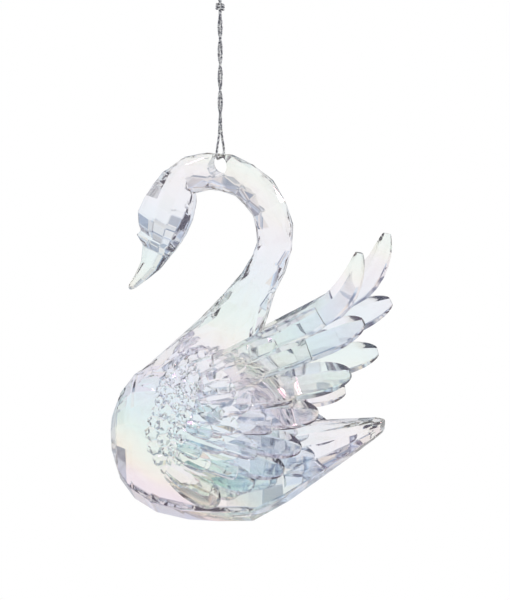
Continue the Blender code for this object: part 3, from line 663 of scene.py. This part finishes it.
# Feathers: four rows, each a ridged blade with an eased rim, fanned over the one below.
# From the top feather to the lowest: root behind and over the breast's middle, slope in
# degrees, reach as a share of the longest, curl of the tip, how late it curls (a power),
# and width as a share of the widest.
wing_reach, wing_root, wing_spread, wing_bow = 59.3, 12.6, 8.4, 1.6
feather_half_width, feather_half_depth, feather_roll, row_lift = 5.6, 1.25, math.radians(9.0), 1.15
fan = ((5.7, 22.9, 25.0, 0.98, 14.3, 6.0, 0.86), (2.6, 17.5, 22.0, 0.936, 1.0, 4.0, 1.00),
       (1.0, 12.0, 12.6, 0.842, 0.5, 3.0, 1.02), (-0.6, 7.0, 4.4, 0.678, 0.5, 2.5, 0.92),
       (-2.1, 4.5, -10.6, 0.614, 1.5, 2.2, 0.88), (-4.5, -0.5, -17.0, 0.568, 2.5, 2.2, 0.90),
       (-6.5, -6.0, -22.2, 0.44, 3.0, 2.2, 0.88), (-9.0, -10.8, -35.3, 0.31, 3.0, 2.2, 0.80))


def fan_at(place):
    """The fan's values at a place between the top feather, 0, and the lowest, 1."""
    low = min(int(place * 7), 6)
    return [a + (b - a) * (place * 7 - low) for a, b in zip(fan[low], fan[low + 1])]


def feather_point(place, far, lift):
    """A point on the middle line of a feather, a share of the way from root to tip."""
    back, up, slope, reach, curl, hook, _ = fan_at(place)
    angle, run = math.radians(slope), far * reach * wing_reach
    bend = curl * far ** hook
    spread = wing_spread * far * (1 - 0.62 * place)
    out = wing_root + spread + wing_bow * math.sin(math.pi * min(place, 0.9))
    return Vector((breast_middle.x + back + run * math.cos(angle) - bend * math.sin(angle), -out - lift,
                   breast_middle.y + up + run * math.sin(angle) + bend * math.cos(angle)))


def tip_width(t, blunt):
    """Width along a feather as a share of its widest, from root to tip."""
    if blunt:
        return 0.8 + 0.2 * min(t / 0.5, 1.0) - 0.16 * max(0.0, t - 0.9) / 0.1
    near = 0.62 + 0.38 * math.sin(math.pi / 2 * min(t / 0.6, 1.0))
    rounding = max(1 - (max(t - 0.73, 0.0) / 0.28) ** 2, 0.0) ** 0.5
    return near * rounding


# The rows: how many feathers, where in the fan the first and last stand, reach and width as
# shares of the long feathers', number of the row, and whether the ends are blunt.
feather_lines, feather_widths, feather_depths, feather_ways = [], [], [], []
for count, first, last, reach_share, width_share, row, blunt in (
        (8, 0.0, 1.0, 1.0, 1.0, 0, False), (7, 0.0, 0.93, 0.66, 0.86, 1, True),
        (7, 0.03, 0.96, 0.40, 0.74, 2, False), (5, 0.08, 0.74, 0.24, 0.62, 3, False)):
    for number in range(count):
        place = first + (last - first) * number / (count - 1)
        steps = 18 if row == 0 else 12
        line = [feather_point(place, reach_share * math.sin(math.pi / 2 * k / (steps - 1)), row * row_lift)
                for k in range(steps)]
        half_width = fan_at(place)[6] * feather_half_width * width_share
        for k in range(steps):
            ahead = (line[min(k + 1, steps - 1)] - line[max(k - 1, 0)]).normalized()
            across = ahead.cross(Vector((0.0, -1.0, 0.0))).normalized()
            outward = across.cross(ahead).normalized()
            t = math.sin(math.pi / 2 * k / (steps - 1))
            thinning = 1.0 if t < 0.9 else 1 - 4.5 * (t - 0.9)
            feather_widths.append(half_width * tip_width(t, blunt) * MM)
            feather_depths.append(feather_half_depth * (1 - 0.09 * row) * thinning * MM)
            feather_ways.append(outward * math.cos(feather_roll) - across * math.sin(feather_roll))
        feather_lines.append(line)

feather_mesh = bpy.data.meshes.new("feather_lines")
feather_spots, feather_links = [], []
for line in feather_lines:
    feather_links += [(len(feather_spots) + k, len(feather_spots) + k + 1) for k in range(len(line) - 1)]
    feather_spots += [from_hole(*point) for point in line]
feather_mesh.from_pydata(feather_spots, feather_links, [])
for label, values in (("half_width", feather_widths), ("half_depth", feather_depths)):
    feather_mesh.attributes.new(label, "FLOAT", "POINT").data.foreach_set("value", values)
feather_mesh.attributes.new("face_way", "FLOAT_VECTOR", "POINT").data.foreach_set(
    "vector", [number for way in feather_ways for number in way])
feather_wire = bpy.data.objects.new("feather_lines", feather_mesh)
bpy.context.scene.collection.objects.link(feather_wire)

# The section of a feather, half width by half depth: a bevelled rim and a ridge on its face.
feather_section = ((-1.0, -0.34), (-1.0, 0.10), (-0.80, 0.62), (-0.08, 0.92), (0.08, 0.92),
                   (0.80, 0.62), (1.0, 0.10), (1.0, -0.34), (0.5, -0.66), (0.0, -0.95), (-0.5, -0.66))
section_curve = bpy.data.curves.new("feather_section", "CURVE")
section_curve.dimensions = "3D"
section_spline = section_curve.splines.new("POLY")
section_spline.points.add(len(feather_section) - 1)
for corner, (across, deep) in zip(section_spline.points, feather_section):
    corner.co = (across, deep, 0.0, 1.0)
section_spline.use_cyclic_u = True
section = bpy.data.objects.new("feather_section", section_curve)
bpy.context.scene.collection.objects.link(section)


def kept_value(tree, name, kind):
    """A value that each point of a mesh keeps by name."""
    made = growth_step(tree, "GeometryNodeInputNamedAttribute", data_type=kind)
    made.inputs["Name"].default_value = name
    return made.outputs["Attribute"]


feather_tree = growth_tree("ridged_feathers", (
    ("Feathers", "Geometry"), ("Section", "Object"), ("Finish", "Material")), "Blades")
feather_join = feather_tree.links.new
feather_face = kept_value(feather_tree, "face_way", "FLOAT_VECTOR")
feather_half = kept_value(feather_tree, "half_width", "FLOAT")
feather_in = growth_step(feather_tree, "NodeGroupInput")
feather_out = growth_step(feather_tree, "NodeGroupOutput")
feather_curves = growth_step(feather_tree, "GeometryNodeMeshToCurve")
feather_join(feather_in.outputs["Feathers"], feather_curves.inputs["Mesh"])
feather_faced = growth_step(feather_tree, "GeometryNodeSetCurveNormal", mode="FREE")
feather_join(feather_curves.outputs["Curve"], feather_faced.inputs["Curve"])
feather_join(feather_face, feather_faced.inputs["Normal"])
feather_place = growth_step(feather_tree, "GeometryNodeInputPosition").outputs["Position"]
feather_line_kept = growth_step(feather_tree, "GeometryNodeStoreNamedAttribute",
                                data_type="FLOAT_VECTOR", domain="POINT")
feather_line_kept.inputs["Name"].default_value = "line_place"
feather_join(feather_faced.outputs["Curve"], feather_line_kept.inputs["Geometry"])
feather_join(feather_place, feather_line_kept.inputs["Value"])
feather_outline = growth_step(feather_tree, "GeometryNodeObjectInfo")
feather_join(feather_in.outputs["Section"], feather_outline.inputs["Object"])
feather_blade = growth_step(feather_tree, "GeometryNodeCurveToMesh")
feather_blade.inputs["Fill Caps"].default_value = True
feather_join(feather_line_kept.outputs["Geometry"], feather_blade.inputs["Curve"])
feather_join(feather_outline.outputs["Geometry"], feather_blade.inputs["Profile Curve"])
feather_join(feather_half, feather_blade.inputs["Scale"])
# The blade comes out as deep as it is wide: its depth is then pressed to its own size.
feather_reach = growth_step(feather_tree, "ShaderNodeVectorMath", operation="SUBTRACT")
feather_join(feather_place, feather_reach.inputs[0])
feather_join(kept_value(feather_tree, "line_place", "FLOAT_VECTOR"), feather_reach.inputs[1])
feather_depth = growth_step(feather_tree, "ShaderNodeVectorMath", operation="DOT_PRODUCT")
feather_join(feather_reach.outputs["Vector"], feather_depth.inputs[0])
feather_join(feather_face, feather_depth.inputs[1])
feather_press = growth_step(feather_tree, "ShaderNodeMath", operation="DIVIDE")
feather_join(kept_value(feather_tree, "half_depth", "FLOAT"), feather_press.inputs[0])
feather_join(feather_half, feather_press.inputs[1])
feather_less = growth_step(feather_tree, "ShaderNodeMath", operation="SUBTRACT")
feather_join(feather_press.outputs[0], feather_less.inputs[0])
feather_less.inputs[1].default_value = 1.0
feather_amount = growth_step(feather_tree, "ShaderNodeMath", operation="MULTIPLY")
feather_join(feather_depth.outputs["Value"], feather_amount.inputs[0])
feather_join(feather_less.outputs[0], feather_amount.inputs[1])
feather_shift = growth_step(feather_tree, "ShaderNodeVectorMath", operation="SCALE")
feather_join(feather_face, feather_shift.inputs[0])
feather_join(feather_amount.outputs[0], feather_shift.inputs["Scale"])
feather_pressed = growth_step(feather_tree, "GeometryNodeSetPosition")
feather_join(feather_blade.outputs["Mesh"], feather_pressed.inputs["Geometry"])
feather_join(feather_shift.outputs["Vector"], feather_pressed.inputs["Offset"])
feather_solid = growth_step(feather_tree, "GeometryNodeRealizeInstances")
feather_join(feather_pressed.outputs["Geometry"], feather_solid.inputs["Geometry"])
feather_painted = growth_step(feather_tree, "GeometryNodeSetMaterial")
feather_join(feather_solid.outputs["Geometry"], feather_painted.inputs["Geometry"])
feather_join(feather_in.outputs["Finish"], feather_painted.inputs["Material"])
feather_join(feather_painted.outputs["Geometry"], feather_out.inputs["Blades"])
feathers = grown("feathers", feather_wire, feather_tree, {"Section": section, "Finish": acrylic_finish})
bpy.data.objects.remove(section)

# Scales: small round domes in curved rows down the front of the wing, set square to it.
# Each row is shorter than the one outside it, and no two scales in it are quite alike.
flank_shape = bmesh.new()
flank_shape.from_mesh(body.data)
flank_shape.from_mesh(shoulder.data)
flank_shape.from_mesh(neck.data)
flank = BVHTree.FromBMesh(flank_shape)
flank_shape.free()
scale_rows, scale_inset, scale_row_step, scale_step = 5, 1.9, 3.1, 3.5
scale_places, scale_ways, scale_sizes = [], [], []
for row in range(scale_rows):
    first, last = 116 + 3 * row, 224 - 5 * row
    reach = shoulder_reach - (scale_inset + row * scale_row_step)
    count = round(reach * math.radians(last - first) / scale_step)
    for k in range(count):
        along = (k + 0.5 * (row % 2) + 0.16 * math.sin(5.1 * k + row)) / (count - 1)
        turn = math.radians(first + (last - first) * along)
        spot = from_hole(shoulder_middle.x + reach * math.cos(turn), beside_swan,
                         shoulder_middle.y + reach * math.sin(turn))
        place, way, _, _ = flank.ray_cast(spot, Vector((0.0, 1.0, 0.0)))
        scale_places.append(place)
        scale_ways.append(way)
        scale_sizes.append(0.92 + 0.26 * math.sin(7.3 * k + 4.1 * row))
scale_mesh = bpy.data.meshes.new("scale_places")
scale_mesh.from_pydata(scale_places, [], [])
scale_mesh.attributes.new("face_way", "FLOAT_VECTOR", "POINT").data.foreach_set(
    "vector", [number for way in scale_ways for number in way])
scale_mesh.attributes.new("size", "FLOAT", "POINT").data.foreach_set("value", scale_sizes)
scale_points = bpy.data.objects.new("scale_places", scale_mesh)
bpy.context.scene.collection.objects.link(scale_points)

dome_sides = 7
dome_rings = [[(radius * math.cos(2 * math.pi * k / dome_sides),
                radius * math.sin(2 * math.pi * k / dome_sides), height) for k in range(dome_sides)]
              for radius, height in ((1.9, -1.4), (2.4, -0.2), (2.4, 0.45), (1.7, 1.25), (0.7, 1.6))]
dome = moulded("dome", dome_rings)
for vert in dome.data.vertices:
    vert.co = vert.co - hole_middle
acrylic_parts.objects.unlink(dome)
bpy.context.scene.collection.objects.link(dome)

scale_tree = growth_tree("set_scales", (
    ("Places", "Geometry"), ("Dome", "Object"), ("Finish", "Material")), "Scales")
scale_join = scale_tree.links.new
scale_in = growth_step(scale_tree, "NodeGroupInput")
scale_out = growth_step(scale_tree, "NodeGroupOutput")
scale_turned = growth_step(scale_tree, "FunctionNodeAlignRotationToVector", axis="Z")
scale_join(kept_value(scale_tree, "face_way", "FLOAT_VECTOR"), scale_turned.inputs["Vector"])
scale_dome = growth_step(scale_tree, "GeometryNodeObjectInfo")
scale_join(scale_in.outputs["Dome"], scale_dome.inputs["Object"])
scale_set = growth_step(scale_tree, "GeometryNodeInstanceOnPoints")
scale_join(scale_in.outputs["Places"], scale_set.inputs["Points"])
scale_join(scale_dome.outputs["Geometry"], scale_set.inputs["Instance"])
scale_join(scale_turned.outputs["Rotation"], scale_set.inputs["Rotation"])
scale_join(kept_value(scale_tree, "size", "FLOAT"), scale_set.inputs["Scale"])
scale_solid = growth_step(scale_tree, "GeometryNodeRealizeInstances")
scale_join(scale_set.outputs["Instances"], scale_solid.inputs["Geometry"])
scale_painted = growth_step(scale_tree, "GeometryNodeSetMaterial")
scale_join(scale_solid.outputs["Geometry"], scale_painted.inputs["Geometry"])
scale_join(scale_in.outputs["Finish"], scale_painted.inputs["Material"])
scale_join(scale_painted.outputs["Geometry"], scale_out.inputs["Scales"])
scales = grown("scales", scale_points, scale_tree, {"Dome": dome, "Finish": acrylic_finish})
bpy.data.objects.remove(dome)

# The feathers and scales are parted into single solids, always in the same order, and each
# gets its twin on the far side.
for grown_set in (feathers, scales):
    pile = bmesh.new()
    pile.from_mesh(grown_set.data)
    waiting = dict.fromkeys(pile.verts)
    while waiting:
        found = [next(iter(waiting))]
        del waiting[found[0]]
        for vert in found:
            for edge in vert.link_edges:
                neighbour = edge.other_vert(vert)
                if neighbour in waiting:
                    del waiting[neighbour]
                    found.append(neighbour)
        numbers = {vert: number for number, vert in enumerate(found)}
        faces = dict.fromkeys(face for vert in found for face in vert.link_faces)
        single = bpy.data.meshes.new("single")
        single.from_pydata([vert.co for vert in found], [],
                           [[numbers[vert] for vert in face.verts] for face in faces])
        single.polygons.foreach_set("use_smooth", [grown_set is feathers] * len(single.polygons))
        acrylic_parts.objects.link(bpy.data.objects.new("single", single))
    pile.free()
    bpy.data.objects.remove(grown_set)
for solid in list(acrylic_parts.objects):
    faced_out = bmesh.new()
    faced_out.from_mesh(solid.data)
    bmesh.ops.recalc_face_normals(faced_out, faces=faced_out.faces)
    faced_out.to_mesh(solid.data)
    if solid.name.startswith(("single", "shoulder", "eye")):
        for vert in faced_out.verts:
            vert.co.y = -vert.co.y
        bmesh.ops.reverse_faces(faced_out, faces=faced_out.faces)
        twin = bpy.data.meshes.new("twin")
        faced_out.to_mesh(twin)
        acrylic_parts.objects.link(bpy.data.objects.new("twin", twin))
    faced_out.free()

# All parts are united into the body, then the hanging hole is bored through the neck.
bore_reach, bore_sides = 11.0, 32
bore_turns = [2 * math.pi * k / bore_sides for k in range(bore_sides)]
bore_rings = [[(hole_radius * math.cos(turn), y, hole_radius * math.sin(turn)) for turn in bore_turns]
              for y in (-bore_reach, bore_reach)]
bore = moulded("hole_cutter", bore_rings, rounded=True)
acrylic_parts.objects.unlink(bore)
bpy.context.scene.collection.objects.link(bore)
acrylic_parts.objects.unlink(body)
bpy.context.scene.collection.objects.link(body)
join = body.modifiers.new("join", "BOOLEAN")
join.operation = "UNION"
join.operand_type = "COLLECTION"
join.collection = acrylic_parts
join.solver = "EXACT"
drill = body.modifiers.new("drill", "BOOLEAN")
drill.operation = "DIFFERENCE"
drill.object = bore
drill.solver = "EXACT"
graph = bpy.context.evaluated_depsgraph_get()
skin = bpy.data.meshes.new_from_object(body.evaluated_get(graph))
for solid in list(acrylic_parts.objects) + [body, bore]:
    bpy.data.objects.remove(solid)
bpy.data.collections.remove(acrylic_parts)
# Points that the join left on one another are merged. Cut facets stay flat, and the
# feathers keep a sharp line only where two faces meet at more than 17 degrees.
merge_reach, sharp_turn = 0.000001, math.radians(17.0)
skin_shape = bmesh.new()
skin_shape.from_mesh(skin)
bmesh.ops.remove_doubles(skin_shape, verts=skin_shape.verts, dist=merge_reach)
skin_shape.to_mesh(skin)
skin_shape.free()
skin.materials.clear()
skin.materials.append(acrylic_finish)
swan = bpy.data.objects.new("swan_moulding", skin)
bpy.context.scene.collection.objects.link(swan)
smooth_faces = [face.use_smooth for face in skin.polygons]
skin.set_sharp_from_angle(angle=sharp_turn)
skin.polygons.foreach_set("use_smooth", smooth_faces)
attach(swan, "root")
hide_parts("swan")
